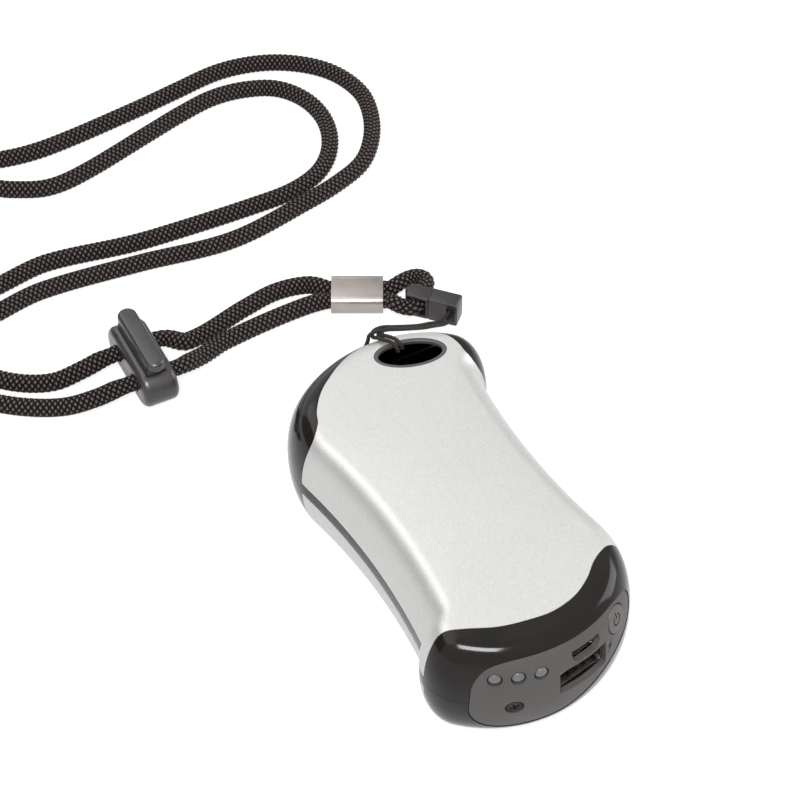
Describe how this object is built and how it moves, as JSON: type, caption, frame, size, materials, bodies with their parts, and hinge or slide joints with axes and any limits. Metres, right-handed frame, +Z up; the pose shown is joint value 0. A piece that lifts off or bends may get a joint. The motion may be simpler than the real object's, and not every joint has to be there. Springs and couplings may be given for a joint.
{
  "type": "rechargeable hand warmer",
  "caption": "Pocket hand warmer with waisted flat body, silver faces, end panel with ports and button, on a thin tether and a braided neck cord with cord lock.",
  "frame": {"origin": "middle of the warmer's body, on the table it lies on", "axes": "+Z up, +Y along the body to the end with the lanyard hole, ports at -Y"},
  "size_m": [0.1407, 0.2431, 0.0316],
  "materials": {
    "pearl_silver": "satin pearl coat",
    "gloss_black": "polished",
    "dark_grey": "fine texture",
    "steel": "plain",
    "black_nylon": "moulded",
    "tin_plate": "bright plated",
    "smoke_lens": "frosted clear",
    "led_package": "plain",
    "green_board": "solder mask",
    "white_nylon": "moulded",
    "gold_contact": "gold plated",
    "cell_can": "shrink sleeve",
    "nickel": "satin nickel plate",
    "amber_film": "film",
    "wire_sleeve": "silicone sleeve",
    "black_cord": "braided",
    "lock_plastic": "satin"
  },
  "bodies": {
    "warmer": {"top_skin": "pearl_silver", "bottom_skin": "pearl_silver", "upper_frame": "gloss_black", "lower_frame": "gloss_black", "upper_eyelet": "gloss_black", "lower_eyelet": "gloss_black", "end_panel": "dark_grey", "panel_screw": "steel", "switch_body": "tin_plate", "light_pipe": "smoke_lens", "indicator_leds": "led_package", "main_board": "green_board", "board_parts": "black_nylon", "usb_a_shell": "tin_plate", "usb_a_tongue": "white_nylon", "usb_a_contacts": "gold_contact", "micro_usb_shell": "tin_plate", "micro_usb_tongue": "black_nylon", "battery_cell_left": "cell_can", "battery_cell_right": "cell_can", "battery_straps": "nickel", "battery_cradle": "dark_grey", "top_heater": "amber_film", "bottom_heater": "amber_film", "heat_sensor": "black_nylon", "lead_wires": "wire_sleeve", "frame_screws": "steel", "tether": "black_cord", "buckle_socket": "black_nylon"},
    "button": {"power_button": "dark_grey"},
    "stem": {"switch_stem": "black_nylon"},
    "keeper": {"buckle_plug": "black_nylon", "crimp_sleeve": "nickel", "neck_cord": "black_cord"},
    "cord_lock": {"cord_lock_body": "lock_plastic", "cord_lock_spring": "steel"},
    "lock_plunger": {"cord_lock_plunger": "lock_plastic"}
  },
  "joints": [
    {"name": "button_press", "type": "slide", "parent": "warmer", "child": "button", "axis": [-0.6428, 0.766, 0], "range_m": [0, 0.0005], "stiffness_N_per_m": 1200, "springref_m": -0.0003},
    {"name": "stem_press", "type": "slide", "parent": "warmer", "child": "stem", "axis": [-0.6428, 0.766, 0], "range_m": [0, 0.0005]},
    {"name": "buckle_release", "type": "slide", "parent": "warmer", "child": "keeper", "axis": [-0.766, 0.6428, 0], "range_m": [0, 0.006]},
    {"name": "lock_slide", "type": "slide", "parent": "keeper", "child": "cord_lock", "axis": [0.9954, 0.0958, 0], "range_m": [-0.002, 0.002]},
    {"name": "plunger_press", "type": "slide", "parent": "cord_lock", "child": "lock_plunger", "axis": [0, 0, -1], "range_m": [0, 0.001], "stiffness_N_per_m": 900, "springref_m": -0.002, "deforming": ["cord_lock_spring"]}
  ],
  "couplings": [
    {"joint": "stem_press", "follows": "button_press", "ratio": 1}
  ]
}
